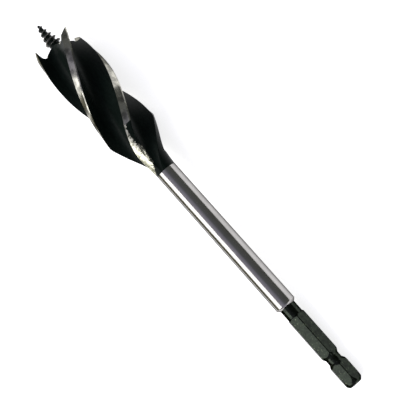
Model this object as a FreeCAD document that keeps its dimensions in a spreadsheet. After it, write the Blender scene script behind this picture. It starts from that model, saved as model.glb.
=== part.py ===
"""A wood drill bit: lead screw, four-cutter fluted head, round shank and hex end, from one bar of steel."""
import FreeCAD, Part
import math
import os
import re
import Sketcher

doc = FreeCAD.newDocument("wood_drill_bit")
sheet = doc.addObject("Spreadsheet::Sheet", "sizes")

# Driving dimensions in millimetres and degrees.
DIMENSIONS = {
    "overall_length": 169.5,
    # lead screw, from its point to where it meets the cutting lips
    "screw_length": 10.7,
    "screw_point_diameter": 0.7,
    "screw_root_diameter": 3.8,
    "screw_neck_diameter": 4.6,
    "screw_neck_length": 0.9,
    # head: the spurs' points stand this far behind the screw's point
    "spur_setback": 10.15,
    "head_diameter": 20.0,
    "land_length": 43.1,
    "cone_angle": 21.5,
    "cone_blend_radius": 16.0,
    # cutting edge of a blade
    "spur_angle": 47.0,
    "notch_depth": 2.65,
    "notch_radius": 2.4,
    "lip_outer_diameter": 10.8,
    "lip_angle": 26.0,
    "edge_relief_angle": 12.0,
    "edge_relief_start": 0.4,
    # flutes
    "flute_lead": 123.3,
    "flute_floor_radius": 3.4,
    "rake_angle": 8.0,
    "blade_width": 2.8,
    "land_margin": 0.5,
    "land_relief": 0.5,
    "flute_overrun": 2.5,
    "runout_length": 22.0,
    "runout_past_cone": 19.2,
    # shank and neck
    "shank_diameter": 7.9,
    "shank_chamfer": 0.85,
    "neck_diameter": 6.0,
    "neck_length": 4.1,
    # hex end, lengths from its end face
    "hex_length": 30.1,
    "hex_flats": 6.35,
    "hex_turned_diameter": 7.2,
    "hex_flat_azimuth": 48.5,
    "hex_front_chamfer": 0.6,
    "end_face_diameter": 4.8,
    "end_chamfer_length": 1.0,
    "end_taper": 0.4,
    "end_taper_length": 3.4,
    "groove_middle": 11.0,
    "groove_floor_width": 1.9,
    "groove_width": 5.2,
    "groove_diameter": 5.2,
    # every turned slope of the hex end is a little hollow
    "slope_hollow_radius": 20.0,
    # how far the outlines of the flats, flutes and reliefs reach past the steel
    "overreach": 1.0,
    # which side of the bit lies uppermost
    "resting_top_azimuth": -74.3,
}
BLADES = 4
BLADE_TURN = 360 // BLADES
HEX_SIDES = 6
FLUTE_SECTIONS = 14
SKIN_TOLERANCE = 0.03
LEAN_STEPS = 30

for row, (name, size) in enumerate(DIMENSIONS.items(), start=1):
    sheet.set("A%d" % row, name)
    sheet.set("B%d" % row, str(size))
    sheet.setAlias("B%d" % row, name)
doc.recompute()

# Heights up the bit from its hex end, as expressions of the sizes.
SPUR = "(overall_length - spur_setback)"
LIP = "(overall_length - screw_length)"
CONE = "(overall_length - spur_setback - land_length)"
HEAD_R = "head_diameter / 2"
SHANK_R = "shank_diameter / 2"
NECK_R = "neck_diameter / 2"
HEX_R = "hex_turned_diameter / 2"
SHANK_END = "(hex_length + neck_length)"


def bound(expression):
    """The expression with the sheet's name before each of its sizes, as objects of the document need it."""
    return re.sub("[a-z_]+", lambda word: "sizes." + word[0] if word[0] in DIMENSIONS else word[0], expression)


def value(expression):
    """The expression's value as a plain number."""
    result = sheet.evalExpression(bound(expression))
    return float(getattr(result, "Value", result))


def origin_feature(body, role):
    return [feature for feature in body.Origin.OriginFeatures if feature.Role == role][0]


def draw(body, name, plane, corners, arcs=()):
    """Add a sketch with one closed outline.

    corners holds the two coordinates of each corner, as expressions. arcs gives, for the number of
    the corner where an arc starts, its radius as an expression, and 1 or -1 for a bulge to the left
    or right of the way round.
    """
    sketch = body.newObject("Sketcher::SketchObject", name)
    sketch.AttachmentSupport = (origin_feature(body, plane), [""])
    sketch.MapMode = "FlatFace"
    arcs = dict(arcs)
    points = [FreeCAD.Vector(value(x), value(y), 0) for x, y in corners]
    first_end, second_end = [], []
    for number, start in enumerate(points):
        end = points[(number + 1) % len(points)]
        backwards = False
        if number in arcs:
            radius, side = arcs[number]
            chord = end - start
            left = FreeCAD.Vector(-chord.y, chord.x, 0).normalize()
            bulge = value(radius) - math.sqrt(value(radius) ** 2 - chord.Length ** 2 / 4)
            middle = start + chord * 0.5 + left * bulge * side
            backwards = side > 0
            edge = Part.Arc(end, middle, start) if backwards else Part.Arc(start, middle, end)
        else:
            edge = Part.LineSegment(start, end)
        index = sketch.addGeometry(edge)
        first_end.append((index, 2 if backwards else 1))
        second_end.append((index, 1 if backwards else 2))
        if number in arcs:
            bind(sketch, Sketcher.Constraint("Radius", index, value(radius)), radius)
    for number, (x, y) in enumerate(corners):
        sketch.addConstraint(Sketcher.Constraint("Coincident", *second_end[number - 1], *first_end[number]))
        for direction, size in (("DistanceX", x), ("DistanceY", y)):
            bind(sketch, Sketcher.Constraint(direction, -1, 1, *first_end[number], value(size)), size)
    return sketch


def bind(sketch, constraint, expression):
    """Add a constraint whose size follows an expression of the sheet's sizes."""
    index = sketch.addConstraint(constraint)
    sketch.setExpression("Constraints[%d]" % index, bound(expression))


def all_round(body, feature, count):
    """Repeat a feature evenly about the bit's axis."""
    pattern = body.newObject("PartDesign::PolarPattern", feature.Name + "s_round")
    pattern.Originals = [feature]
    pattern.Axis = (origin_feature(body, "Z_Axis"), [""])
    pattern.Angle = 360
    pattern.Occurrences = count
    pattern.Refine = False
    body.Tip = pattern
    doc.recompute()
    return pattern


drill_bit = doc.addObject("PartDesign::Body", "drill_bit_body")

# The turned form: half of the bit's outline on the plane through its axis, up from the hex end.
# The cutting lips rise towards the screw, the notch dips between them and the spurs' inner faces.
CONE_TAN = "tan( cone_angle * 1 deg )"
CONE_END = "( %s - ( head_diameter - shank_diameter ) / 2 / %s )" % (CONE, CONE_TAN)
BLEND = "( cone_blend_radius * tan( cone_angle * 0.5 deg ) )"
SPUR_TAN = "tan( spur_angle * 1 deg )"
LIP_R = "lip_outer_diameter / 2"
LIP_EDGE = "( %s - ( lip_outer_diameter - screw_neck_diameter ) / 2 * tan( lip_angle * 1 deg ) )" % LIP
NOTCH_FLOOR = "( %s - notch_depth )" % SPUR
NOTCH_TOP = "( %s + notch_radius * ( 1 - cos( spur_angle * 1 deg ) ) )" % NOTCH_FLOOR
NOTCH_TOP_R = "( head_diameter / 2 - ( %s - %s ) / %s )" % (SPUR, NOTCH_TOP, SPUR_TAN)
NOTCH_R = "( %s - notch_radius * sin( spur_angle * 1 deg ) )" % NOTCH_TOP_R
turned_corners = [
    ("0", "0"),
    ("end_face_diameter / 2", "0"),
    ("hex_turned_diameter / 2 - end_taper", "end_chamfer_length"),
    (HEX_R, "end_taper_length"),
    (HEX_R, "groove_middle - groove_width / 2"),
    ("groove_diameter / 2", "groove_middle - groove_floor_width / 2"),
    ("groove_diameter / 2", "groove_middle + groove_floor_width / 2"),
    (HEX_R, "groove_middle + groove_width / 2"),
    (HEX_R, "hex_length - hex_front_chamfer"),
    (NECK_R, "hex_length"),
    (NECK_R, SHANK_END),
    ("shank_diameter / 2 - shank_chamfer", SHANK_END),
    (SHANK_R, "%s + shank_chamfer" % SHANK_END),
    (SHANK_R, "%s - %s" % (CONE_END, BLEND)),
    ("shank_diameter / 2 + %s * sin( cone_angle * 1 deg )" % BLEND,
     "%s + %s * cos( cone_angle * 1 deg )" % (CONE_END, BLEND)),
    (HEAD_R, CONE),
    (HEAD_R, SPUR),
    (NOTCH_TOP_R, NOTCH_TOP),
    (NOTCH_R, NOTCH_FLOOR),
    (LIP_R, NOTCH_FLOOR),
    (LIP_R, LIP_EDGE),
    ("screw_neck_diameter / 2", LIP),
    ("screw_root_diameter / 2", "%s + screw_neck_length" % LIP),
    ("screw_point_diameter / 2", "overall_length - screw_point_diameter"),
    ("0", "overall_length"),
]
END_CHAMFER, END_TAPER, GROOVE_BACK, GROOVE_FRONT, HEX_CHAMFER = 1, 2, 4, 6, 8
BLEND_ARC, NOTCH_ARC = 13, 17
bends = {BLEND_ARC: ("cone_blend_radius", 1), NOTCH_ARC: ("notch_radius", 1)}
for slope in (END_CHAMFER, END_TAPER, GROOVE_BACK, GROOVE_FRONT, HEX_CHAMFER):
    bends[slope] = ("slope_hollow_radius", 1)
profile = draw(drill_bit, "turned_profile", "XZ_Plane", turned_corners, bends)
blank = drill_bit.newObject("PartDesign::Revolution", "turned_blank")
blank.Profile = profile
blank.ReferenceAxis = (profile, ["V_Axis"])
blank.Angle = 360

# The hex end: one flat cut across the turned end, six times round.
flat_outline = draw(drill_bit, "flat_outline", "XY_Plane", [
    ("hex_flats / 2", "0 - hex_turned_diameter / 2"),
    (HEX_R + " + overreach", "0 - hex_turned_diameter / 2"),
    (HEX_R + " + overreach", "hex_turned_diameter / 2"),
    ("hex_flats / 2", "hex_turned_diameter / 2"),
])
flat_outline.setExpression("AttachmentOffset.Rotation.Angle", bound("hex_flat_azimuth"))
flat = drill_bit.newObject("PartDesign::Pocket", "hex_flat")
flat.Profile = flat_outline
flat.Reversed = True
flat.setExpression("Length", bound("hex_length + neck_length / 2"))
all_round(drill_bit, flat, HEX_SIDES)

# One flute: its outline carried down the head along the flute's lead. The outline's corners run from
# the blade's leading corner in along the rake face, round the floor, out along the next blade's heel
# and over its relieved land. Near the end the outline moves outwards, along the middle of the flute,
# until its floor leaves the steel at the shank's surface.
OUTSIDE = "( head_diameter / 2 + 2 * overreach )"
RAKE_MIDDLE = "( ( %d + rake_angle ) / 2 )" % BLADE_TURN
FLOOR_Y = "( flute_floor_radius * sin( %s * 1 deg ) / cos( %s * 1 deg ) - %s )" % (
    RAKE_MIDDLE, RAKE_MIDDLE, "( head_diameter / 2 - blade_width ) * tan( rake_angle * 1 deg )")
FLOOR_X = "( blade_width + flute_floor_radius )"
CORE_R = "( sqrt( %s ^ 2 + %s ^ 2 ) - flute_floor_radius )" % (FLOOR_X, FLOOR_Y)
HEEL_Y = "( sqrt( ( head_diameter / 2 ) ^ 2 - blade_width ^ 2 ) - land_relief )"
MARGIN_Y = "sqrt( ( head_diameter / 2 ) ^ 2 - land_margin ^ 2 )"
RELIEF_TOP_Y = "( %s + ( %s - %s ) * blade_width / ( blade_width - land_margin ) )" % (HEEL_Y, MARGIN_Y, HEEL_Y)
FLOOR_ARCS = 4
FLOOR_TURN = "( 180 + ( %d + rake_angle ) * %d / %d )"


def floor_corner(number):
    """A corner on the round floor, counted from its tangent with the rake face to that with the heel."""
    angle = FLOOR_TURN % (BLADE_TURN, FLOOR_ARCS - number, FLOOR_ARCS)
    return ("%s + flute_floor_radius * cos( %s * 1 deg )" % (FLOOR_X, angle),
            "%s + flute_floor_radius * sin( %s * 1 deg )" % (FLOOR_Y, angle))


flute_corners = [
    (OUTSIDE, "( %s - head_diameter / 2 ) * tan( rake_angle * 1 deg )" % OUTSIDE),
    *[floor_corner(number) for number in range(FLOOR_ARCS + 1)],
    ("blade_width", HEEL_Y),
    ("0", RELIEF_TOP_Y),
    ("0", OUTSIDE),
    (OUTSIDE, OUTSIDE),
]
FLOOR_BENDS = {number: ("flute_floor_radius", 1) for number in range(1, FLOOR_ARCS + 1)}
FLUTE_TOP = "( %s + flute_overrun )" % SPUR
RUNOUT_END = "( %s - runout_past_cone )" % CONE
FLUTE_LENGTH = "( %s - %s + flute_overrun )" % (FLUTE_TOP, RUNOUT_END)


def flute_section(number):
    """The flute's outline at one of the evenly spaced stations down its length."""
    height = "( %s - %s * %d / %d )" % (FLUTE_TOP, FLUTE_LENGTH, number, FLUTE_SECTIONS - 1)
    turn = "( ( %s - %s ) * 360 / flute_lead )" % (height, SPUR)
    runout = "( max( 0 ; %s + runout_length - %s ) / runout_length )" % (RUNOUT_END, height)
    lift = "( %s - %s ) * %s ^ 2" % (SHANK_R, CORE_R, runout)
    outwards = "( ( %s + %s ) * 1 deg )" % (RAKE_MIDDLE, turn)
    section = draw(drill_bit, "flute_section_%d" % number, "XY_Plane", flute_corners, FLOOR_BENDS)
    section.setExpression("AttachmentOffset.Rotation.Angle", bound(turn))
    section.setExpression("AttachmentOffset.Base.x", bound(lift + " * cos" + outwards))
    section.setExpression("AttachmentOffset.Base.y", bound(lift + " * sin" + outwards))
    section.setExpression("AttachmentOffset.Base.z", bound(height))
    return section


sections = [flute_section(number) for number in range(FLUTE_SECTIONS)]
flute = drill_bit.newObject("PartDesign::SubtractiveLoft", "flute")
flute.Profile = sections[0]
flute.Sections = sections[1:]
flute.Refine = False
all_round(drill_bit, flute, BLADES)

# The relief behind each cutting edge: the edge's own outline, cut back and down towards the heel.
AHEAD_RISE = "edge_relief_start * tan( edge_relief_angle * 1 deg )"
relief_corners = [(r, "%s + %s" % (z, AHEAD_RISE)) for r, z in (
    ("screw_neck_diameter / 2", LIP),
    (LIP_R, LIP_EDGE),
    (LIP_R, NOTCH_FLOOR),
    (NOTCH_R, NOTCH_FLOOR),
    (NOTCH_TOP_R, NOTCH_TOP),
    ("head_diameter / 2 + overreach", "%s + overreach * %s" % (SPUR, SPUR_TAN)),
    ("screw_neck_diameter / 2", "%s + overreach * %s" % (SPUR, SPUR_TAN)),
)]
RELIEF_NOTCH_ARC = 3
relief_outline = draw(drill_bit, "edge_outline", "XZ_Plane", relief_corners,
                      {RELIEF_NOTCH_ARC: ("notch_radius", -1)})
relief_outline.setExpression("AttachmentOffset.Base.z", bound("0 - edge_relief_start"))
relief = drill_bit.newObject("PartDesign::Pocket", "edge_relief")
relief.Profile = relief_outline
relief.UseCustomVector = True
relief.Refine = False
relief.setExpression("Direction.x", "0")
relief.setExpression("Direction.y", bound("0 - cos( edge_relief_angle * 1 deg )"))
relief.setExpression("Direction.z", bound("0 - sin( edge_relief_angle * 1 deg )"))
relief.setExpression("Length", bound("blade_width + 2 * overreach"))
all_round(drill_bit, relief, BLADES)

# The bit lies as it comes to rest on a flat floor, its screw towards -X: it rolls until two of the
# blades carry the head, and its axis leans until the head and the hex end both touch the floor.
steel = drill_bit.Shape.Solids[0]
skin = steel.tessellate(SKIN_TOLERANCE)[0]
middle = steel.CenterOfMass.z
head_skin = [point for point in skin if point.z > middle]
hex_skin = [point for point in skin if point.z < middle]


def lying(lean):
    """The turn that lays the bit down, with its screw raised by the lean angle."""
    roll = FreeCAD.Rotation(FreeCAD.Vector(0, 0, 1), -value("resting_top_azimuth"))
    return FreeCAD.Rotation(FreeCAD.Vector(0, 1, 0), lean - 90) * roll


def lowest(points, turn):
    down = turn.inverted().multVec(FreeCAD.Vector(0, 0, -1))
    return -max(point.dot(down) for point in points)


level, steep = 0.0, 10.0
for step in range(LEAN_STEPS):
    lean = (level + steep) / 2
    turn = lying(lean)
    if lowest(head_skin, turn) < lowest(hex_skin, turn):
        level = lean
    else:
        steep = lean
turn = lying(lean)
box = FreeCAD.BoundBox()
for point in skin:
    box.add(turn.multVec(point))
drill_bit.Label = "drill_bit"
drill_bit.Placement = FreeCAD.Placement(FreeCAD.Vector(-box.Center.x, -box.Center.y, -box.ZMin), turn)
doc.recompute()

for feature in doc.Objects:
    faults = [word for word in feature.State if word in ("Invalid", "Error")]
    if faults:
        raise RuntimeError("%s: %s" % (feature.Name, faults))
if drill_bit.Shape.isNull() or not drill_bit.Shape.isValid() or len(drill_bit.Shape.Solids) != 1:
    raise RuntimeError("the drill bit is not one sound solid")
os.makedirs("parts", exist_ok=True)
drill_bit.Shape.exportStep("parts/%s.step" % drill_bit.Label)
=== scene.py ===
"""A wood drill bit and its studio: lead screw, four-blade fluted head, round shank and hex end.

All sizes are in millimetres and radians unless a name says otherwise. Heights run up the bit's axis
from its hex end, azimuths run round it from the first blade's leading corner at the spurs' height.
"""

import math

import bpy
import numpy as np
from mathutils import Matrix, Vector


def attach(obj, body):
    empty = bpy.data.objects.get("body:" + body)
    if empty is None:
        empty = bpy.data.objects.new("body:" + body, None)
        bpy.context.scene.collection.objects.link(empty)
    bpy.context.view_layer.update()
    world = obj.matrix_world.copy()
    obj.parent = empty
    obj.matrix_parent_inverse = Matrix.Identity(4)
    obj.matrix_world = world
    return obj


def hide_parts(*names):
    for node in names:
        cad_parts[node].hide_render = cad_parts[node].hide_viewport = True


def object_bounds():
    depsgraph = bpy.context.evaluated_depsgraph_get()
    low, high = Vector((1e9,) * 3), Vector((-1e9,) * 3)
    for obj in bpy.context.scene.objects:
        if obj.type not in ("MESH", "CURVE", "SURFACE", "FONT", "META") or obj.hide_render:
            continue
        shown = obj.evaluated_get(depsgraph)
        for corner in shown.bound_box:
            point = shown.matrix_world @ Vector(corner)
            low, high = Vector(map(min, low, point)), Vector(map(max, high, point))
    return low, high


bl_info = {
    "name": "Wood drill bit",
    "version": (1, 0, 0),
    "blender": (4, 5, 0),
    "location": "View3D > Sidebar > Drill bit",
    "description": "A four-blade wood drill bit with its lead screw, lying in a plain studio",
    "category": "Object",
}

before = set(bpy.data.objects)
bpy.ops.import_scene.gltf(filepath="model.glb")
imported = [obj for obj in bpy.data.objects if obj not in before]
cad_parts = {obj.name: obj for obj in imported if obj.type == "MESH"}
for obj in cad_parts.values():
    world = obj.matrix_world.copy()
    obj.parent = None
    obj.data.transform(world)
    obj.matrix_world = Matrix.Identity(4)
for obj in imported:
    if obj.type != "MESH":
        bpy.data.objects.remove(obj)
CAD_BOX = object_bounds()
MM = 0.001

# The bit's sizes, as its solid has them.
LENGTH = 169.5
SPUR = LENGTH - 10.15
LIP = LENGTH - 10.7
HEAD_R = 10.0
CONE = SPUR - 43.1
CONE_ANGLE = math.radians(21.5)
BLEND_R = 16.0
SHANK_R = 3.95
CONE_END = CONE - (HEAD_R - SHANK_R) / math.tan(CONE_ANGLE)
BLEND_START = CONE_END - BLEND_R * math.tan(CONE_ANGLE / 2)
BLEND_END = BLEND_START + BLEND_R * math.sin(CONE_ANGLE)
SCREW_NECK_R = 2.3
BLADES = 4
QUARTER = math.tau / BLADES

# The cutting edge, from the screw's neck out to the spur, with its relief's slope and the way from
# the neck over which the relief sets in.
LIP_R = 5.4
LIP_SLOPE = math.tan(math.radians(26.0))
NOTCH_FLOOR = SPUR - 2.65
NOTCH_R = 2.4
SPUR_ANGLE = math.radians(47.0)
NOTCH_TOP = NOTCH_FLOOR + NOTCH_R * (1 - math.cos(SPUR_ANGLE))
NOTCH_TOP_R = HEAD_R - (SPUR - NOTCH_TOP) / math.tan(SPUR_ANGLE)
NOTCH_FLOOR_R = NOTCH_TOP_R - NOTCH_R * math.sin(SPUR_ANGLE)
EDGE_RELIEF = math.tan(math.radians(12.0))
RELIEF_WAY = 0.3

# The flutes: a round floor, a hooked rake face and a straight heel, twisted to the right.
LEAD = 123.3
FLOOR_R = 3.4
RAKE = math.radians(8.0)
RAKE_LENGTH = 6
BLADE_WIDTH = 2.8
FLUTE_MIDDLE = (QUARTER + RAKE) / 2
FLOOR_X = BLADE_WIDTH + FLOOR_R
FLOOR_Y = FLOOR_R / math.cos(RAKE) - (HEAD_R - FLOOR_X) * math.tan(RAKE)
CORE_R = math.hypot(FLOOR_X, FLOOR_Y) - FLOOR_R
MARGIN = 0.5
LAND_RELIEF = 0.5
HEEL = (math.sqrt(HEAD_R ** 2 - BLADE_WIDTH ** 2) - LAND_RELIEF, -BLADE_WIDTH)
MARGIN_BACK = (math.sqrt(HEAD_R ** 2 - MARGIN ** 2), -MARGIN)
RUNOUT = 22.0
RUNOUT_END = CONE - 19.2
RUNOUT_TOP = RUNOUT_END + RUNOUT
GROUND_END = LENGTH - 52.4
FINISH_LINE = LENGTH - 72.2

# The shank's end, the neck and the hex end.
SHANK_END = 34.2
SHANK_CHAMFER = 0.85
NECK_R = 3.0
HEX_END = 30.1
HEX_SIDE_R = 6.35 / 2
HEX_CORNER_R = 3.6
HEX_AZIMUTH = math.radians(48.5)
HEX_SIDES = 6
SIXTH = math.tau / HEX_SIDES
HEX_CHAMFER = 0.6
GROOVE_MIDDLE = 11.0
GROOVE_FLOOR = 1.9 / 2
GROOVE_HALF = 5.2 / 2
GROOVE_R = 2.6
END_TAPER = (3.4, 1.0)
END_R = (HEX_CORNER_R - 0.4, 2.4)

# The lead screw, by distance from its point: its root's radii, how the thread's height falls away
# beside the helix, the helix's turn, where the thread starts and where it leaves the cone.
ROOT_DEPTHS = (0, 0.25, 0.7, 9.8, LENGTH - LIP)
ROOT_RADII = (0, 0.26, 0.5, 1.92, SCREW_NECK_R)
THREAD_HALF = 0.62
THREAD_FLANK = 0.54
THREAD_TURN = 0.25
THREAD_START = 0.15
THREAD_START_WAY = 1.2
THREAD_END = 10.2
THREAD_END_WAY = 0.9

# How the bit lies: its top side, its lean, and where the hex end's middle is in the frame.
RESTING_TOP = math.radians(-74.3)
RESTING_LEAN = math.radians(2.955082)
RESTING_PLACE = (84.575441, 0.0, 3.134915)

# The camera as the photo has it, in a frame with its origin at the screw's point, Z up the bit's axis
# and Y away from the camera: the frame's turn on the bit, the camera's tilt and roll, and its place
# beside, below and before the point. Then the photo's upward direction, as its parts across the bit
# and along it, the lens and the sensor's width.
CAMERA_TURN = math.radians(42.56)
CAMERA_TILT = math.radians(9.57)
CAMERA_ROLL = math.radians(-0.12)
CAMERA_SIDE = 1.90
CAMERA_DOWN = 86.63
CAMERA_AWAY = 349.65
PHOTO_AXIS = (0.66361, 0.74808)
LENS = 86.56
SENSOR = 36.0

# The surface's grid over a blade: columns, and rows outwards from the screw's neck. DENSE is the
# number of steps of the lines that the grid's points are read from.
COLUMNS = 20
NECK_ROWS = 5
FLOOR_ROWS = 8
LIP_ROWS = (4.4, 4.75, 5.1, LIP_R - 0.12, LIP_R - 0.02, LIP_R + 0.02, LIP_R + 0.14, 5.8, 6.15)
NOTCH_ROWS = 7
LAND_ROWS = 8
LAST_ROWS = (HEAD_R - 0.09, HEAD_R - 0.04)
DENSE = 200

# Rings down the bit: from the cutting edges to the first level one, closer together near the edges,
# then to the height CLOSER, then to the finish line, and on the shank. From EVEN_START down the
# azimuths even out.
LEVEL = SPUR - 9.0
RINGS_EDGE = 14
EDGE_SPACING = 1.3
CLOSER = RUNOUT_TOP + 0.4
RINGS_FLUTE = 50
RINGS_RUNOUT = 56
RINGS_SHANK = (90.0, 75.0, 60.0, 45.0)
EVEN_START = 106.0
EVEN_WAY = 8.0

# Rings on the screw by distance from its point: two at the neck, then the first, the last and the
# number of the others.
RINGS_NECK = (10.55, 10.4)
RINGS_SCREW = (10.3, 0.04, 172)

# A ring's points on each of the hex's corners, and the least angle from a flat's middle to its border.
CORNER_POINTS = 6
LEAST_BORDER = math.radians(12)

# Half the width of an edge's rounding, a step below which heights count as one, the surface's width as
# a share of the solid's, which keeps it inside, and the angle from which an edge is drawn sharp.
EDGE = 0.05
TINY = 0.01
INSIDE = 0.99996
SHARP = math.radians(32)

# Finishes, in the order of the bit's material slots.
GROUND, OXIDE, TURNED, GUNMETAL, SCREW = range(5)

# A painted highlight: bright bare steel on one blade only, standing in for the soft box's reflection.
# How far it reaches from that blade's heel edge, over the land before it and the flute behind it, for
# heights up the bit, and what counts as far outside it.
HIGHLIGHT_BLADE = 1
HIGHLIGHT_HEIGHTS = (97.0, 98.0, 100.0, 102.0, 104.0, 106.0, 108.0, 110.0, 112.0, 114.0, 118.0, 119.0)
HIGHLIGHT_LAND = (-0.5, 0.8, 2.8, 3.6, 3.6, 3.3, 2.9, 2.3, 1.5, 0.8, 0.4, -1.0)
HIGHLIGHT_FLUTE = (-1.0, 0.2, 0.6, 1.0, 1.4, 1.4, 1.2, 1.0, 0.8, 0.7, 0.5, -1.0)
FAR = 9.0

# How far the wear reaches from the hex's corners, and the thread's height that counts as full crest.
HEX_WEAR = 0.25
CREST = 0.8

# Sockets of the colour Mix node: its share, its two colours and its result.
MIX_SHARE, MIX_FIRST, MIX_SECOND, MIX_RESULT = 0, 6, 7, 2

# How much the metals keep of their reflection where they are seen from the side.
EDGE_TINT = (0.2, 0.2, 0.2, 1.0)

# The floor: half its side in metres, how far it lies under the bit, and its own light, which only
# the camera and mirrors see.
FLOOR_HALF = 3.0
FLOOR_DROP = 0.02
FLOOR_GLOW = 0.8

# The soft box: its azimuth round the bit, its distance, its width and length, and its watts.
KEY_AZIMUTH = math.radians(-113.0)
KEY_AWAY = 600
KEY_SIZE = (410, 900)
KEY_WATTS = 3.5


def linear(code):
    """An sRGB hex colour such as 3A3A3C as linear red, green and blue."""
    parts = [int(code[i:i + 2], 16) / 255 for i in (0, 2, 4)]
    return tuple(p / 12.92 if p <= 0.04045 else ((p + 0.055) / 1.055) ** 2.4 for p in parts)


class DrillBitSizes(bpy.types.PropertyGroup):
    """Sizes of the lead screw's thread."""

    pitch: bpy.props.FloatProperty(
        name="Thread pitch", description="Rise of the lead screw's thread in one turn",
        default=2.0 * MM, unit="LENGTH", subtype="DISTANCE")
    crest_at_point: bpy.props.FloatProperty(
        name="Crest at the point", description="Radius of the thread's crest, carried on to the point",
        default=0.75 * MM, unit="LENGTH", subtype="DISTANCE")
    crest_slope: bpy.props.FloatProperty(
        name="Crest slope", description="How fast the crest's radius grows away from the point",
        default=0.245)


class DrillBitColours(bpy.types.PropertyGroup):
    """Colours of the bit's finishes and of the floor."""

    oxide: bpy.props.FloatVectorProperty(
        name="Black oxide", description="The blackened flutes", subtype="COLOR", size=3,
        default=linear("0C1310"))
    ground: bpy.props.FloatVectorProperty(
        name="Ground steel", description="The ground lands and cutting edges", subtype="COLOR", size=3,
        default=linear("B0AFAA"))
    turned: bpy.props.FloatVectorProperty(
        name="Bright shank", description="The bright ground shank", subtype="COLOR", size=3,
        default=linear("ACAAA8"))
    gunmetal: bpy.props.FloatVectorProperty(
        name="Gunmetal hex", description="The darkened hex end", subtype="COLOR", size=3,
        default=linear("2C2F2C"))
    floor: bpy.props.FloatVectorProperty(
        name="Floor", description="The studio's pale floor", subtype="COLOR", size=3,
        default=linear("F4F4F4"))


def turned_radius(height):
    """The head's outer radius: full above the cone, a straight slope down it, then an arc that
    touches both the slope and the shank."""
    if height > CONE:
        return HEAD_R
    if height > BLEND_END:
        return HEAD_R - (CONE - height) * math.tan(CONE_ANGLE)
    if height > BLEND_START:
        return SHANK_R + BLEND_R - math.sqrt(BLEND_R ** 2 - (height - BLEND_START) ** 2)
    return SHANK_R


def twist(height):
    """The flutes' turn at a height: one turn per lead, growing upwards."""
    return (height - SPUR) * math.tau / LEAD


def floor_lift(height):
    """How far the flute has moved out of the steel: nothing until the run-out, then growing with the
    square of the way, until the floor reaches the shank's surface."""
    return (SHANK_R - CORE_R) * (max(0.0, RUNOUT_TOP - height) / RUNOUT) ** 2


def turned(points, angle):
    """Points of a plane turned about the axis."""
    cos, sin = math.cos(angle), math.sin(angle)
    return points @ np.array([[cos, sin], [-sin, cos]])


def around(radius, azimuth, height):
    """Points at distances from the axis, azimuths and heights."""
    x, y = radius * np.cos(azimuth), radius * np.sin(azimuth)
    return np.stack(np.broadcast_arrays(x, y, height), -1)


def along(line):
    """Distance along a line of points, from its start."""
    return np.concatenate([[0], np.cumsum(np.hypot(*np.diff(line, axis=0).T))])


def arc(centre, start, end, steps):
    """Points on the flute's round floor, from one direction of its centre to another."""
    angle = np.linspace(start, end, steps)[:, None]
    return centre + FLOOR_R * np.concatenate([np.cos(angle), np.sin(angle)], 1)


def blade_sides(height):
    """The two sides of a blade at a height, before the twist, each as a dense line of points, and the
    number of the heel's corner.

    The rake side starts at the flute's deepest point, follows the round floor and then the straight
    rake face. The heel side starts at the deepest point of the flute behind, follows the floor and
    the straight heel up to its corner, then the relieved land up to the margin. The floor and all
    that belongs to it move out along the flute's middle by the lift.
    """
    lift = floor_lift(height) * np.array([math.cos(FLUTE_MIDDLE), math.sin(FLUTE_MIDDLE)])
    centre = np.array([FLOOR_X, FLOOR_Y]) + lift
    deepest = math.atan2(-centre[1], -centre[0])
    floor = arc(centre, deepest, RAKE - math.pi / 2, DENSE)
    out = np.array([math.cos(RAKE), math.sin(RAKE)])
    way = np.linspace(0, RAKE_LENGTH, DENSE + 1)[1:, None]
    rake = np.concatenate([floor, floor[-1] + way * out])
    floor = turned(arc(centre, deepest, -math.pi, DENSE * 2 // 5), -QUARTER)
    lift = turned(lift, -QUARTER)
    corner, margin = np.array(HEEL) + lift, np.array(MARGIN_BACK) + lift
    share = np.linspace(0, 1, DENSE + 1)[1:, None]
    heel = np.concatenate([floor, floor[-1] + (corner - floor[-1]) * share])
    land = corner + (margin - corner) * share
    return rake, np.concatenate([heel, land]), len(heel) - 1


def cutting_edge(radius, outside):
    """The height of the turned edge's outline at a radius: inside the lip's end a slope down from the
    screw's neck, outside it the notch's flat and round floor and the spur's straight inner side."""
    bend = np.linspace(0, SPUR_ANGLE, 15)
    notch_r = np.concatenate([[0], NOTCH_FLOOR_R + NOTCH_R * np.sin(bend), [HEAD_R]])
    notch_z = np.concatenate([[NOTCH_FLOOR], NOTCH_FLOOR + NOTCH_R * (1 - np.cos(bend)), [SPUR]])
    lip = LIP - np.clip(radius - SCREW_NECK_R, 0, None) * LIP_SLOPE
    return np.where(outside, np.interp(radius, notch_r, notch_z), lip)


def top_height(x, y, outside):
    """The height of a blade's top: the turned edge's outline or, behind the cutting edge, the same
    outline carried straight back and down by the relief, whichever is lower."""
    edge = cutting_edge(np.hypot(x, y), outside)
    relieved = np.minimum(edge, cutting_edge(x, outside) + y * EDGE_RELIEF)
    share = np.clip((x - SCREW_NECK_R) / RELIEF_WAY, 0, 1)
    return edge + (relieved - edge) * share


def on_top(x, y, outside):
    """Points of a blade's top over places across it."""
    return np.stack([x, y, top_height(x, y, outside)], 1)


def settle(place, height=SPUR - 1.5, rounds=12):
    """A place that depends on its own height, found by a few rounds of working out both."""
    for _ in range(rounds):
        x, y, height = place(height)
    return x, y, height


def meet(side, x, outside):
    """Where a blade's side, twisted by its height, meets the blade's top at a distance x across the
    blade: how far along the side, and the point."""
    def at(height):
        line = turned(side, twist(height))
        y = np.interp(x, line[:, 0], line[:, 1])
        return x, y, float(top_height(x, y, outside))

    _, y, height = settle(at)
    line = turned(side, twist(height))
    return np.interp(x, line[:, 0], along(side)), np.array([x, y, height])


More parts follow.
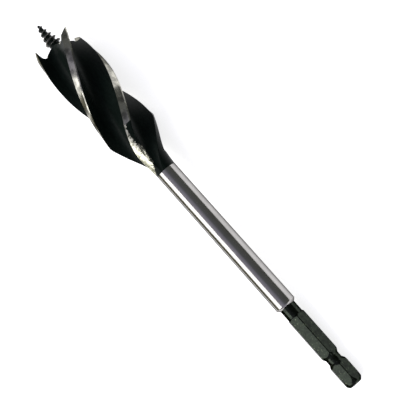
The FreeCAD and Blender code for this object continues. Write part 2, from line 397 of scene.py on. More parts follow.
def blade_top():
    """One blade's top as a grid of points, from the screw's neck outwards and from the heel side to
    the rake side, with how far along both sides its rows end, and the row of the heel's corner.

    Next to the screw the rows are arcs. Then come a few rows whose points blend the last arc, the
    first straight row and both sides. From there each row is straight, square to the blade's middle,
    and the last one is the margin's arc.
    """
    rake, heel, corner = blade_sides(SPUR)
    rake_way, heel_way = along(rake), along(heel)
    share = np.linspace(0, 1, COLUMNS + 1)

    def heel_corner(height):
        x, y = turned(heel[corner], twist(height))
        return x, y, float(top_height(x, y, True))

    corner_x = settle(heel_corner)[0]
    rows = np.concatenate([
        LIP_ROWS, np.linspace(NOTCH_FLOOR_R, NOTCH_TOP_R, NOTCH_ROWS), [(NOTCH_TOP_R + corner_x) / 2],
        np.linspace(corner_x, LAST_ROWS[0], LAND_ROWS), LAST_ROWS[1:]])
    corner_row = int(np.searchsorted(rows, corner_x))
    rake_at, heel_at, grid = [], [], []
    for x in rows:
        outside = x > LIP_R
        at, rake_point = meet(rake, x, outside)
        rake_at.append(at)
        at, heel_point = meet(heel, x, outside)
        heel_at.append(at)
        y = heel_point[1] + (rake_point[1] - heel_point[1]) * share
        grid.append(on_top(np.full(COLUMNS + 1, x), y, outside))
    heel_at[corner_row] = heel_way[corner]

    # The margin's arc, from the relief's end to the leading corner.
    back = math.atan2(MARGIN_BACK[1], MARGIN_BACK[0])

    def margin(height):
        angle = back * (1 - share) + twist(height)
        x, y = HEAD_R * np.cos(angle), HEAD_R * np.sin(angle)
        return x, y, top_height(x, y, True)

    grid.append(np.stack(settle(margin), 1))
    rake_at.append(np.interp(HEAD_R, np.hypot(*rake.T), rake_way))
    heel_at.append(heel_way[-1])

    # The arcs by the screw, then the blend from the deepest points to the first straight row.
    lip_twist = twist(LIP - 0.5)
    angles = [math.atan2(side[0, 1], side[0, 0]) + lip_twist for side in (heel, rake)]
    angles = angles[0] + (angles[1] - angles[0]) * share
    inner = []
    for radius in np.linspace(SCREW_NECK_R, CORE_R, NECK_ROWS + 1):
        inner.append(on_top(radius * np.cos(angles), radius * np.sin(angles), False))
    last_arc, first_row = inner[-1][:, :2], grid[0][:, :2]
    first_twist = twist(grid[0][0, 2])
    blend, rake_in, heel_in = [], [0.0], [0.0]
    for part in np.arange(1, FLOOR_ROWS) / FLOOR_ROWS:
        ends = []
        for side, way, at in ((heel, heel_way, heel_at[0] * part), (rake, rake_way, rake_at[0] * part)):
            point = np.array([np.interp(at, way, side[:, axis]) for axis in (0, 1)])
            ends.append(turned(point, lip_twist * (1 - part) + first_twist * part))
        plain = last_arc * (1 - part) + first_row * part
        by_heel, by_rake = ends[0] - plain[0], ends[1] - plain[-1]
        x, y = (plain + by_heel * (1 - share[:, None]) + by_rake * share[:, None]).T
        blend.append(on_top(x, y, False))
        heel_in.append(heel_at[0] * part)
        rake_in.append(rake_at[0] * part)
    points = np.array(inner + blend + grid)
    return points, np.array(rake_in + rake_at), np.array(heel_in + heel_at), corner_row + FLOOR_ROWS


def land_shares(heel_at, corner_row):
    """The shares of azimuth, from the heel's corner to the leading corner, at which the land's rows
    and the margin's columns stand."""
    _, heel, corner = blade_sides(SPUR)
    x, y = (np.interp(heel_at[corner_row + 1:], along(heel), heel[:, axis]) for axis in (0, 1))
    relief = 1 - np.arctan2(y, x) / math.atan2(heel[corner, 1], heel[corner, 0])
    return np.concatenate([relief, np.linspace(relief[-1], 1, COLUMNS + 1)[1:]])


def level_ring(height, rake_share, heel_share, land_share):
    """All four blades' outlines at a height, as points.

    Each blade's part runs from the deepest point behind it over its heel, land, margin and rake face
    to the deepest point before it. The heel's and rake face's points stand at fixed shares of their
    length, the land's and margin's at fixed shares of azimuth, all cut off by the outer radius.
    Towards the finish line they move to even azimuths, which leaves a plain ring.
    """
    outer = turned_radius(height)
    rake, heel, corner = blade_sides(height)
    land = heel[corner:]
    heel = heel[:corner + 1]
    sides = []
    for line, shares in ((heel, heel_share), (rake, rake_share)):
        way, radii = along(line), np.hypot(*line.T)
        top = np.interp(outer, radii, way)
        x, y = (np.interp(shares * top, way, line[:, axis]) for axis in (0, 1))
        sides.append((np.hypot(x, y), np.arctan2(y, x)))
    (heel_r, heel_a), (rake_r, rake_a) = sides
    land_a = heel_a[-1] + (rake_a[-1] - heel_a[-1]) * land_share
    land_r = np.interp(
        land_a, np.arctan2(land[:, 1], land[:, 0]), np.hypot(*land.T), left=outer, right=outer)
    radius = np.concatenate([heel_r, np.minimum(outer, land_r), rake_r[-2::-1]])
    azimuth = np.concatenate([heel_a, land_a, rake_a[-2::-1]])
    even = min(1.0, max(0.0, (EVEN_START - height) / EVEN_WAY))
    if even > 0:
        spread = azimuth[0] + QUARTER * np.linspace(0, 1, len(azimuth))
        mixed = azimuth * (1 - even) + spread * even
        radius = np.interp(mixed, azimuth, radius)
        azimuth = mixed
    turns = np.repeat(np.arange(BLADES) * QUARTER, len(azimuth) - 1)
    azimuth = np.tile(azimuth[:-1], BLADES) + turns + twist(height)
    return around(np.tile(radius[:-1], BLADES), azimuth, height)


def grid_faces(index, closed=True):
    """Quads between the neighbouring rows and columns of a grid of point numbers. A closed grid joins
    its last column to the first."""
    if closed:
        index = np.concatenate([index, index[:, :1]], 1)
    return np.stack([index[:-1, :-1], index[:-1, 1:], index[1:, 1:], index[1:, :-1]], -1).reshape(-1, 4)


def root_radius(depth):
    """The lead screw's root radius at a distance from its point."""
    return np.interp(depth, ROOT_DEPTHS, ROOT_RADII)


def screw_grid(azimuth, sizes):
    """The lead screw in rows from its neck to its point: a cone with a thread on it. The thread's
    height falls away on both sides of a helix of one pitch per turn, it grows from nothing at the
    point and leaves the cone before the neck."""
    pitch = sizes.pitch / MM
    depth = np.concatenate([RINGS_NECK, np.linspace(*RINGS_SCREW), [0.0]])[:, None]
    root = root_radius(depth)
    crest = sizes.crest_at_point / MM + sizes.crest_slope * depth
    turn = depth / pitch + azimuth / math.tau + THREAD_TURN
    away = np.abs((turn + 0.5) % 1.0 - 0.5) * pitch
    ridge = np.clip((THREAD_HALF - away) / THREAD_FLANK, 0, 1)
    start = np.clip((depth - THREAD_START) / THREAD_START_WAY, 0, 1) ** 0.6
    leave = np.clip((THREAD_END - depth) / THREAD_END_WAY, 0, 1)
    radius = root + (crest - root).clip(0) * ridge * start * leave ** 2 * (3 - 2 * leave)
    return around(radius, azimuth, LENGTH - depth)


def lower_profile():
    """Heights and turned radii of the rings below the finish line, down to the middle of the end
    face. Each sharp edge is two rings close together, which round it a little."""
    shoulder = SHANK_END + SHANK_CHAMFER
    corners = [
        (FINISH_LINE - 0.5, SHANK_R), *((height, SHANK_R) for height in RINGS_SHANK),
        (shoulder + 3 * EDGE, SHANK_R), (shoulder + EDGE, SHANK_R - 0.2 * EDGE),
        (shoulder - EDGE, SHANK_R - 1.2 * EDGE), (SHANK_END + EDGE, SHANK_R - SHANK_CHAMFER + EDGE),
        (SHANK_END, SHANK_R - SHANK_CHAMFER - EDGE), (SHANK_END, NECK_R), (SHANK_END - EDGE, NECK_R),
        (SHANK_END - 2, NECK_R), (HEX_END + 2 * EDGE, NECK_R), (HEX_END, NECK_R)]
    slopes = [
        (HEX_END - HEX_CHAMFER, HEX_CORNER_R, 6),
        (GROOVE_MIDDLE + GROOVE_HALF, HEX_CORNER_R, 4),
        (GROOVE_MIDDLE + GROOVE_FLOOR, GROOVE_R, 8),
        (GROOVE_MIDDLE - GROOVE_FLOOR, GROOVE_R, 3),
        (GROOVE_MIDDLE - GROOVE_HALF, HEX_CORNER_R, 8),
        (END_TAPER[0], HEX_CORNER_R, 2),
        (END_TAPER[1], END_R[0], 6),
        (EDGE, END_R[1] + EDGE, 4),
        (0.0, END_R[1] - EDGE, 1),
        (0.0, END_R[1] / 2, 1),
        (0.0, 0.0, 1)]
    for height, radius, steps in slopes:
        last = corners[-1]
        for part in np.arange(1, steps + 1) / steps:
            corners.append((last[0] + (height - last[0]) * part, last[1] + (radius - last[1]) * part))
    return np.array(corners).T


def hex_azimuths(radii, count):
    """Azimuths of each ring on the hex: on every side most points spread over the flat and a few
    over the turned corner, with one on each of their borders. A border's azimuth from the flat's
    middle has the flat's distance over the ring's radius as its cosine."""
    border = np.arccos(np.clip(HEX_SIDE_R / np.maximum(radii, 0.1), 0, 1))
    border = border.clip(LEAST_BORDER, None)[:, None]
    on_corner = np.arange(CORNER_POINTS) / CORNER_POINTS
    parts = []
    for side in range(HEX_SIDES):
        on_flat = count // HEX_SIDES + (side < count % HEX_SIDES) - CORNER_POINTS
        parts.append(side * SIXTH + border * (np.arange(on_flat) / on_flat * 2 - 1))
        parts.append(side * SIXTH + border + (SIXTH - 2 * border) * on_corner)
    return np.concatenate(parts, 1)


def from_flat(azimuth):
    """Azimuths measured from the middle of the nearest flat of the hex."""
    return (azimuth - HEX_AZIMUTH + SIXTH / 2) % SIXTH - SIXTH / 2


def lower_rings(first):
    """The rings below the finish line. Along the shank they keep the last flute ring's azimuths, down
    the neck they move over to the hex's, and on the hex the radius is the smaller of the turned one
    and the flat's, which is its distance over the cosine from its middle."""
    heights, radii = lower_profile()
    count = len(first)
    own = hex_azimuths(np.where(heights > HEX_END, HEX_CORNER_R, radii), count) + HEX_AZIMUTH
    own = np.roll(own, -int(round((first[0] - own[0, 0]) / math.tau * count)), axis=1)
    own = own + math.tau * np.round((first - own) / math.tau)
    share = np.clip((SHANK_END - heights) / (SHANK_END - HEX_END), 0, 1)[:, None]
    azimuth = first * (1 - share) + own * share
    heights, radii = heights[:, None], radii[:, None]
    on_hex = np.minimum(radii, HEX_SIDE_R / np.cos(from_flat(azimuth)))
    return around(np.where(heights <= HEX_END, on_hex, radii), azimuth, heights)


class Surface:
    """Points and faces of one closed surface, gathered grid by grid."""

    def __init__(self):
        self.points, self.faces, self.finishes = [], [], []
        self.count = 0

    def add(self, grid):
        """Store a grid of points and number them."""
        flat = grid.reshape(-1, 3)
        self.points.append(flat)
        self.count += len(flat)
        return np.arange(self.count - len(flat), self.count).reshape(grid.shape[:-1])

    def cover(self, quads, finish):
        """Store quads with one finish for all or one for each."""
        self.faces.append(quads)
        self.finishes.append(np.broadcast_to(finish, len(quads)))


def bit_surface(sizes):
    """The whole bit as one closed surface: the blades' tops, the head's rings down to the finish line,
    the shank, the neck and the hex end, and the lead screw."""
    surface = Surface()
    top, rake_at, heel_at, corner_row = blade_top()
    rows = len(rake_at)

    # The blades' tops. Neighbours share the points from the screw's neck to the flutes' deepest lines.
    # From there outwards the tops are ground.
    tops = []
    for blade in range(BLADES):
        plan = turned(top[..., :2], blade * QUARTER)
        tops.append(surface.add(np.concatenate([plan, top[..., 2:]], -1)))
    for blade in range(BLADES):
        tops[blade][:NECK_ROWS + 1, 0] = tops[blade - 1][:NECK_ROWS + 1, -1]
    on_edge = np.repeat(np.arange(len(top) - 1) >= NECK_ROWS, COLUMNS)
    for index in tops:
        surface.cover(grid_faces(index, False), np.where(on_edge, GROUND, OXIDE))

    # The tops' border, and each of its points carried down the flutes' helix to a level ring.
    border = []
    for index in tops:
        outer = index[NECK_ROWS:]
        border.append(np.concatenate([outer[:, 0], outer[-1, 1:], outer[-2:0:-1, -1]]))
    border = np.concatenate(border)
    quarter = len(border) // BLADES
    shares = (rake_at / rake_at[-1], heel_at[:corner_row + 1] / heel_at[corner_row],
              land_shares(heel_at, corner_row))
    level = level_ring(LEVEL, *shares)
    part = (np.arange(1, RINGS_EDGE + 1) / RINGS_EDGE)[:, None] ** EDGE_SPACING
    height = np.concatenate(surface.points)[border, 2] * (1 - part) + LEVEL * part
    radius = np.hypot(level[:, 0], level[:, 1])
    azimuth = np.arctan2(level[:, 1], level[:, 0]) - twist(LEVEL) + twist(height)
    edge_rings = around(radius, azimuth, height)

    # Level rings from there to the finish line.
    heights = np.concatenate([
        np.linspace(LEVEL, CLOSER, RINGS_FLUTE + 1)[1:],
        np.linspace(CLOSER, FINISH_LINE, RINGS_RUNOUT + 1)[1:],
        [GROUND_END, CONE + EDGE, CONE - EDGE]])
    level_rings = np.array([level_ring(height, *shares) for height in np.sort(heights)[::-1]])
    rings = np.concatenate([edge_rings, level_rings])
    column = np.tile(np.arange(quarter), BLADES)
    side = np.concatenate([border[None, :], surface.add(rings)])
    on_land = np.tile((column >= corner_row) & (column < rows - 1 + COLUMNS), len(rings))
    on_ground = on_land & (np.repeat(rings[:, 0, 2], len(border)) > GROUND_END - TINY)
    surface.cover(grid_faces(side), np.where(on_ground, GROUND, OXIDE))

    # The shank, the neck and the hex end.
    last = rings[-1]
    below = lower_rings(np.unwrap(np.arctan2(last[:, 1], last[:, 0])))
    index = surface.add(below)
    index[-1] = index[-1, 0]
    on_shank = np.repeat(below[:, 0, 2], len(border)) > SHANK_END - TINY
    surface.cover(grid_faces(np.concatenate([side[-1:], index])), np.where(on_shank, TURNED, GUNMETAL))

    # The lead screw, upwards from the tops' innermost ring.
    inner = np.concatenate([index[0, :-1] for index in tops])
    ring = np.concatenate(surface.points)[inner]
    index = surface.add(screw_grid(np.unwrap(np.arctan2(ring[:, 1], ring[:, 0])), sizes))
    index[-1] = index[-1, 0]
    surface.cover(grid_faces(np.concatenate([inner[None, :], index]))[:, ::-1], SCREW)
    points = np.concatenate(surface.points) * (INSIDE, INSIDE, 1.0)
    return points, np.concatenate(surface.faces), np.concatenate(surface.finishes)


def closed_mesh(name, points, quads, finishes, attributes):
    """A mesh from points and quads, with number or vector attributes of its points. A quad with a
    repeated point becomes a triangle, points that no face uses are dropped, and all faces are turned
    outwards by the sign of the volume they hold."""
    a, b, c, d = (points[quads[:, corner]] for corner in range(4))
    if np.einsum("ij,ij->", a, np.cross(b, c) + np.cross(c, d)) < 0:
        quads = quads[:, ::-1]
    repeated = quads == np.roll(quads, -1, axis=1)
    sound = repeated.sum(1) < 2
    quads, repeated, finishes = quads[sound], repeated[sound], finishes[sound]
    used, inverse = np.unique(quads, return_inverse=True)
    quads = inverse.reshape(quads.shape)
    points = points[used]
    sizes = 4 - repeated.sum(1)
    loops = quads[~repeated]
    mesh = bpy.data.meshes.new(name)
    mesh.vertices.add(len(points))
    mesh.vertices.foreach_set("co", points.ravel())
    mesh.loops.add(len(loops))
    mesh.loops.foreach_set("vertex_index", loops.astype(np.int32))
    mesh.polygons.add(len(sizes))
    mesh.polygons.foreach_set("loop_start", (np.cumsum(sizes) - sizes).astype(np.int32))
    mesh.polygons.foreach_set("material_index", finishes.astype(np.int32))
    mesh.update(calc_edges=True)
    for attribute, values in attributes.items():
        number = values.ndim == 1
        layer = mesh.attributes.new(attribute, "FLOAT" if number else "FLOAT_VECTOR", "POINT")
        layer.data.foreach_set("value" if number else "vector", values[used].ravel())
    if mesh.validate():
        raise RuntimeError(name + " has faulty faces")
    return mesh


def highlight_and_wear_reach(points):
    """How far inside the painted highlight, a patch of bare steel on one blade, points lie, in
    millimetres: its reach at their height, less their distance round the bit from the heel's edge, over
    the land before it or the flute behind it. On the hex end it is the reach of the wear less the
    distance from the nearest corner."""
    x, y, height = points.T
    azimuth = np.arctan2(y, x)
    radius = np.clip(HEAD_R - (CONE - height) * math.tan(CONE_ANGLE), SHANK_R, HEAD_R)
    # The painted highlight sits on one blade only, the one that faces the camera.
    edge = twist(height) + HIGHLIGHT_BLADE * QUARTER - np.arcsin(BLADE_WIDTH / radius)
    way = radius * ((azimuth - edge + math.pi) % math.tau - math.pi)
    land, flute = (np.interp(height, HIGHLIGHT_HEIGHTS, reach) for reach in (HIGHLIGHT_LAND, HIGHLIGHT_FLUTE))
    patch = np.maximum(np.where(way > 0, land - way, flute + way), -FAR)
    from_corner = SIXTH / 2 - abs(from_flat(azimuth))
    return np.where(height < HEX_END, HEX_WEAR - from_corner * np.hypot(x, y), patch)


def resting(points):
    """Points of the upright bit laid down as it rests, in metres: turned so that its resting top is up,
    tipped over to the lean, and moved to its place."""
    tip, turn = RESTING_LEAN - math.pi / 2, -RESTING_TOP
    matrix = Matrix.Rotation(tip, 3, "Y") @ Matrix.Rotation(turn, 3, "Z")
    return (points @ np.array(matrix).T + np.array(RESTING_PLACE)) * MM


def node(tree, kind, output=0, inputs=None, stops=(), to=None, **settings):
    """Add a node with its settings, its colour stops and its inputs, each a plain value or an output
    to link from. Give back one of its outputs, linked to a socket where one is named."""
    made = tree.nodes.new(kind)
    for name, setting in settings.items():
        setattr(made, name, setting)
    for name, given in (inputs or {}).items():
        if isinstance(given, bpy.types.NodeSocket):
            tree.links.new(given, made.inputs[name])
        else:
            made.inputs[name].default_value = given
    for number, (place, colour) in enumerate(stops):
        elements = made.color_ramp.elements
        element = elements[number] if number < 2 else elements.new(place)
        element.position = place
        element.color = (*colour, 1.0) if isinstance(colour, tuple) else (colour, colour, colour, 1.0)
    if to:
        tree.links.new(made.outputs[output], to)
    return made.outputs[output]


def noise(tree, place, scale, detail=2.0, roughness=0.5):
    """A cloudy noise over places."""
    return node(tree, "ShaderNodeTexNoise", "Fac", {
        "Vector": place, "Scale": scale, "Detail": detail, "Roughness": roughness})


def stretched(tree, place, *factors):
    """Places stretched by a factor for each direction."""
    return node(tree, "ShaderNodeMapping", 0, {"Vector": place, "Scale": factors})


def ramp(tree, value, stops, to=None):
    """A value turned into a colour or another value by stops, each a value and what it gives."""
    return node(tree, "ShaderNodeValToRGB", 0, {"Fac": value}, stops, to)


def rise(tree, value, low, high, top=1.0, to=None):
    """Nothing up to the low value, then growing evenly, and the top from the high value on."""
    return node(tree, "ShaderNodeMapRange", 0, {
        "Value": value, "From Min": low, "From Max": high, "To Max": top}, to=to)


def mix(tree, share, first, second, to, blend="MIX"):
    """Two colours mixed by a share."""
    node(tree, "ShaderNodeMix", MIX_RESULT, {MIX_SHARE: share, MIX_FIRST: first, MIX_SECOND: second},
         to=to, data_type="RGBA", blend_type=blend)


def steel(name):
    """A new metal material whose edges darken, its node tree, its shader's inputs and the place on
    the upright bit."""
    material = bpy.data.materials.new(name)
    material.use_nodes = True
    tree = material.node_tree
    inputs = tree.nodes["Principled BSDF"].inputs
    inputs["Metallic"].default_value = 1.0
    inputs["Specular Tint"].default_value = EDGE_TINT
    return material, tree, inputs, node(tree, "ShaderNodeAttribute", "Vector", attribute_name="place")


def scaled(colour, *factors):
    """A colour brightened or darkened by one factor, or by one for each of red, green and blue."""
    factors = factors * 3 if len(factors) == 1 else factors
    return tuple(c * f for c, f in zip(colour, factors))


def ground_steel(colour):
    """Ground and hardened steel of the lands and cutting edges: fine scratches run round the bit and
    grinding dust dulls it in patches. The eye sees grey bands that blaze white where they face the
    lamp."""
    material, tree, inputs, place = steel("ground_hardened_steel")
    scratches = noise(tree, stretched(tree, place, 0.35, 0.35, 4.0), 1.2, 3.0)
    patches = noise(tree, place, 0.3, 6.0)
    dust = ramp(tree, patches, (
        (0.4, scaled(colour, 0.5, 0.5, 0.48)), (0.58, scaled(colour, 1.2, 1.19, 1.12))))
    grooves = ramp(tree, scratches, ((0.35, 0.75), (0.6, 1.0)))
    mix(tree, 0.5, dust, grooves, inputs["Base Color"], "MULTIPLY")
    ramp(tree, patches, ((0.3, 0.26), (0.7, 0.16)), inputs["Roughness"])
    node(tree, "ShaderNodeBump", 0, {"Height": scratches, "Distance": 0.003 * MM}, to=inputs["Normal"])
    return material


def oxide_steel(colour, bright):
    """Milled steel blackened with an oxide: near black, half glossy, with faint milling lines along
    the flute. On one blade, along the heel's edge and most of all where the flute runs out, ragged
    patches of bright bare steel, a little yellow, are painted in as a highlight."""
    material, tree, inputs, place = steel("black_oxide_milled_steel")
    # The bare attribute here is the reach of the painted highlight patch.
    bare = node(tree, "ShaderNodeAttribute", "Fac", attribute_name="bare")
    lines = noise(tree, stretched(tree, place, 1.0, 1.0, 0.2), 1.4, 4.0)
    ragged = noise(tree, place, 1.1, 7.0, 0.72)
    reach = node(tree, "ShaderNodeMath", 0, {0: ragged, 1: 4.0, 2: bare}, operation="MULTIPLY_ADD")
    # The share of the painted highlight, made bare bright metal.
    highlight_share = rise(tree, reach, 1.95, 2.35, to=inputs["Metallic"])
    tint = ramp(tree, lines, ((0.35, colour), (0.8, scaled(colour, 2.0))))
    # The painted highlight's colour, brighter than the ground steel.
    metal = ramp(tree, ragged, (
        (0.38, scaled(bright, 0.4, 0.43, 0.28)), (0.54, scaled(bright, 1.9, 1.9, 1.7))))
    mix(tree, highlight_share, tint, metal, inputs["Base Color"])
    ramp(tree, highlight_share, ((0.0, 0.44), (1.0, 0.36)), inputs["Roughness"])
    inputs["Specular IOR Level"].default_value = 0.25
    node(tree, "ShaderNodeBump", 0, {"Height": lines, "Distance": 0.01 * MM}, to=inputs["Normal"])
    return material


def turned_steel(colour):
    """Bright centreless-ground bar of the shank: a near mirror, with hair lines round it that blur
    its reflections a little."""
    material, tree, inputs, place = steel("bright_ground_bar")
    hair = noise(tree, stretched(tree, place, 0.1, 0.1, 3.0), 1.5)
    cloud = noise(tree, place, 0.2, 3.0)
    ramp(tree, cloud, ((0.3, scaled(colour, 0.84)), (0.7, colour)), inputs["Base Color"])
    ramp(tree, hair, ((0.3, 0.11), (0.7, 0.2)), inputs["Roughness"])
    node(tree, "ShaderNodeBump", 0, {"Height": hair, "Distance": 0.0006 * MM}, to=inputs["Normal"])
    return material


def gunmetal_steel(colour):
    """Blackened milled steel of the hex end: dark gunmetal and half glossy, mottled a faint green,
    with small lighter specks where the black is thin and bare steel here and there on the corners."""
    material, tree, inputs, place = steel("blackened_milled_steel")
    mottle = noise(tree, place, 0.8, 6.0, 0.65)
    specks = noise(tree, place, 1.9, 4.0)
    bare = node(tree, "ShaderNodeAttribute", "Fac", attribute_name="bare")
    reach = node(tree, "ShaderNodeMath", 0, {0: mottle, 1: 1.5, 2: bare}, operation="MULTIPLY_ADD")
    corner, thin = rise(tree, reach, 0.95, 1.25, 0.8), rise(tree, specks, 0.63, 0.72, 0.4)
    shine = node(tree, "ShaderNodeMath", 0, {0: corner, 1: thin}, operation="MAXIMUM")
    black = ramp(tree, mottle, ((0.35, scaled(colour, 0.55)), (0.65, scaled(colour, 1.1, 1.2, 1.05))))
    mix(tree, shine, black, (*scaled(colour, 8.5, 9.0, 6.4), 1.0), inputs["Base Color"])
    ramp(tree, mottle, ((0.3, 0.08), (0.7, 0.2)), inputs["Roughness"])
    node(tree, "ShaderNodeBump", 0, {"Height": specks, "Distance": 0.003 * MM}, to=inputs["Normal"])
    return material


def screw_steel(colour, bright):
    """Cut thread of the lead screw: blackened all over, with a little bare metal on its crests."""
    material, tree, inputs, place = steel("black_oxide_cut_thread")
    crest = node(tree, "ShaderNodeAttribute", "Fac", attribute_name="crest")
    spots = noise(tree, place, 1.4, 5.0)
    share = node(tree, "ShaderNodeMath", 0, {0: crest, 1: spots}, operation="MULTIPLY")
    bare = rise(tree, share, 0.3, 0.5, to=inputs["Metallic"])
    mix(tree, bare, (*scaled(colour, 1.3), 1.0), (*scaled(bright, 0.6), 1.0), inputs["Base Color"])
    ramp(tree, spots, ((0.3, 0.32), (0.7, 0.45)), inputs["Roughness"])
    node(tree, "ShaderNodeBump", 0, {"Height": spots, "Distance": 0.006 * MM}, to=inputs["Normal"])
    return material


class DRILLBIT_OT_bit(bpy.types.Operator):
    """Add the whole drill bit as one closed piece of steel"""

    bl_idname = "drill_bit.add_bit"
    bl_label = "Add the drill bit"

    def execute(self, context):
        sizes, colours = context.scene.drill_bit_sizes, context.scene.drill_bit_colours
        points, quads, finishes = bit_surface(sizes)
        depth = LENGTH - points[:, 2]
        crest = np.clip((np.hypot(points[:, 0], points[:, 1]) - root_radius(depth)) / CREST, 0, 1)
        # The bare attribute holds the painted highlight's reach on the head and the wear's reach on the
        # hex corners.
        mesh = closed_mesh("drill_bit_steel", resting(points), quads, finishes, {
            "place": points, "bare": highlight_and_wear_reach(points), "crest": crest * (depth < LENGTH - LIP)})
        bright, oxide = tuple(colours.ground), tuple(colours.oxide)
        materials = (
            ground_steel(bright), oxide_steel(oxide, bright), turned_steel(tuple(colours.turned)),
            gunmetal_steel(tuple(colours.gunmetal)), screw_steel(oxide, bright))
        for material in materials:
            mesh.materials.append(material)
        mesh.shade_smooth()
        mesh.set_sharp_from_angle(angle=SHARP)
        piece = bpy.data.objects.new("drill_bit_steel", mesh)
        context.scene.collection.objects.link(piece)
        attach(piece, "root")
        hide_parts("drill_bit")
        return {"FINISHED"}


def placed(point):
    """A place on the upright bit, as a point of the frame in metres."""
    return Vector(resting(np.array(point, float)))


def directed(vector):
    """A direction of the upright bit, as a direction of the frame."""
    return (placed(vector) - placed((0, 0, 0))) / MM


def aim(thing, place, look, up):
    """Put a lamp or camera at a place, looking along a direction, with the given side up."""
    back = -look.normalized()
    right = up.cross(back).normalized()
    turn = Matrix((right, back.cross(right), back)).transposed()
    thing.matrix_world = Matrix.Translation(place) @ turn.to_4x4()


def add_floor(scene):
    """A wide pale sheet just under the bit, matt. What the camera and the metal see of it has a share
    of its own light, so that it is white beside the bit and keeps the bit's shadow."""
    bottom = CAD_BOX[0][2] - FLOOR_DROP * MM
    sides = ((-1, -1), (1, -1), (1, 1), (-1, 1))
    corners = [(x * FLOOR_HALF, y * FLOOR_HALF, bottom) for x, y in sides]
    mesh = bpy.data.meshes.new("floor")
    mesh.from_pydata(corners, [], [(0, 1, 2, 3)])
    material = bpy.data.materials.new("matt_white_paper")
    material.use_nodes = True
    tree = material.node_tree
    inputs = tree.nodes["Principled BSDF"].inputs
    place = node(tree, "ShaderNodeTexCoord", "Object")
    grain = noise(tree, place, 900.0)
    colour = tuple(scene.drill_bit_colours.floor)
    ramp(tree, grain, ((0.0, scaled(colour, 0.97)), (1.0, colour)), inputs["Base Color"])
    inputs["Roughness"].default_value = 0.9
    inputs["Specular IOR Level"].default_value = 0.2
    inputs["Emission Color"].default_value = (1.0, 1.0, 1.0, 1.0)
    rays = node(tree, "ShaderNodeLightPath").node.outputs
    seen = rays["Is Camera Ray"]
    for kind in ("Is Glossy Ray", "Is Transmission Ray"):
        seen = node(tree, "ShaderNodeMath", 0, {0: seen, 1: rays[kind]}, operation="MAXIMUM")
    node(tree, "ShaderNodeMath", 0, {0: seen, 1: FLOOR_GLOW}, to=inputs["Emission Strength"],
         operation="MULTIPLY")
    mesh.materials.append(material)
    floor = bpy.data.objects.new("floor", mesh)
    scene.collection.objects.link(floor)


def add_softbox(scene):
    """The one lamp: a long soft box along the bit, at an azimuth of the bit and a distance from its
    middle."""
    lamp = bpy.data.lights.new("key_softbox", "AREA")
    lamp.shape = "RECTANGLE"
    lamp.size, lamp.size_y = KEY_SIZE[0] * MM, KEY_SIZE[1] * MM
    lamp.energy = KEY_WATTS
    thing = bpy.data.objects.new("key_softbox", lamp)
    scene.collection.objects.link(thing)
    out = directed((math.cos(KEY_AZIMUTH), math.sin(KEY_AZIMUTH), 0))
    aim(thing, placed((0, 0, LENGTH / 2)) + out * KEY_AWAY * MM, -out, directed((0, 0, 1)))


def add_sky(scene):
    """A dim surround, coloured by how far a direction turns from the frame's +Y side to its -Y side:
    dark grey, then a light and bluish grey, then olive."""
    world = bpy.data.worlds.new("studio")
    world.use_nodes = True
    tree = world.node_tree
    place = node(tree, "ShaderNodeTexCoord", "Object")
    side = node(tree, "ShaderNodeMapping", 0, {
        "Vector": place, "Scale": (1, -0.5, 1), "Location": (0, 0.5, 0)})
    side = node(tree, "ShaderNodeSeparateXYZ", "Y", {"Vector": side})
    ramp(tree, side, (
        (0.0, linear("646661")), (0.28, linear("707276")), (0.42, linear("A09FAE")),
        (0.6, linear("B4B1C0")), (0.95, linear("76745E"))), tree.nodes["Background"].inputs["Color"])
    scene.world = world


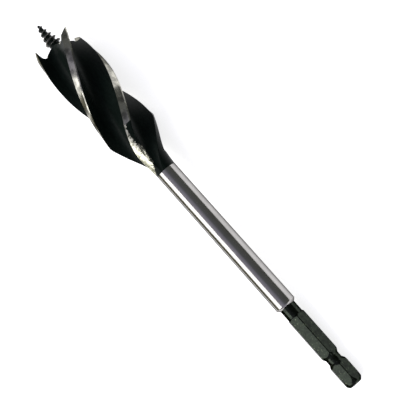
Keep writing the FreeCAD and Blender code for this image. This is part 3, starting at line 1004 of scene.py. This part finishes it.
def add_camera(scene):
    """The photo's camera, worked out from the bit's outline in the picture."""
    side = Vector((1, 0, 0))
    up_bit = Vector((0, -math.sin(CAMERA_TILT), math.cos(CAMERA_TILT)))
    look = Vector((0, math.cos(CAMERA_TILT), math.sin(CAMERA_TILT)))
    place = CAMERA_SIDE * side - CAMERA_DOWN * up_bit - CAMERA_AWAY * look
    across = math.cos(CAMERA_ROLL) * side + math.sin(CAMERA_ROLL) * up_bit
    onward = math.cos(CAMERA_ROLL) * up_bit - math.sin(CAMERA_ROLL) * side
    up = PHOTO_AXIS[0] * across + PHOTO_AXIS[1] * onward
    turn = Matrix.Rotation(CAMERA_TURN, 3, "Z")
    data = bpy.data.cameras.new("photo_camera")
    data.lens = LENS
    data.sensor_width = SENSOR
    camera = bpy.data.objects.new("photo_camera", data)
    scene.collection.objects.link(camera)
    place = placed(turn @ place + Vector((0, 0, LENGTH)))
    aim(camera, place, directed(turn @ look), directed(turn @ up))
    scene.camera = camera


class DRILLBIT_OT_stage(bpy.types.Operator):
    """Add the floor, the soft box, the surround and the photo's camera"""

    bl_idname = "drill_bit.add_stage"
    bl_label = "Add the stage"

    def execute(self, context):
        scene = context.scene
        add_floor(scene)
        add_softbox(scene)
        add_sky(scene)
        add_camera(scene)
        scene.view_settings.view_transform = "Standard"
        return {"FINISHED"}


class DRILLBIT_PT_panel(bpy.types.Panel):
    """Sizes, colours and operators of the drill bit"""

    bl_idname = "DRILLBIT_PT_panel"
    bl_label = "Wood drill bit"
    bl_space_type = "VIEW_3D"
    bl_region_type = "UI"
    bl_category = "Drill bit"

    def draw(self, context):
        for group in (context.scene.drill_bit_sizes, context.scene.drill_bit_colours):
            for name in group.__annotations__:
                self.layout.prop(group, name)
        for operator in OPERATORS:
            self.layout.operator(operator.bl_idname)


OPERATORS = (DRILLBIT_OT_bit, DRILLBIT_OT_stage)
CLASSES = (DrillBitSizes, DrillBitColours, *OPERATORS, DRILLBIT_PT_panel)


def register():
    for cls in CLASSES:
        bpy.utils.register_class(cls)
    bpy.types.Scene.drill_bit_sizes = bpy.props.PointerProperty(type=DrillBitSizes)
    bpy.types.Scene.drill_bit_colours = bpy.props.PointerProperty(type=DrillBitColours)


def unregister():
    del bpy.types.Scene.drill_bit_colours
    del bpy.types.Scene.drill_bit_sizes
    for cls in reversed(CLASSES):
        bpy.utils.unregister_class(cls)


def main():
    register()
    bpy.ops.drill_bit.add_bit()
    bpy.ops.drill_bit.add_stage()


if __name__ == "__main__":
    main()
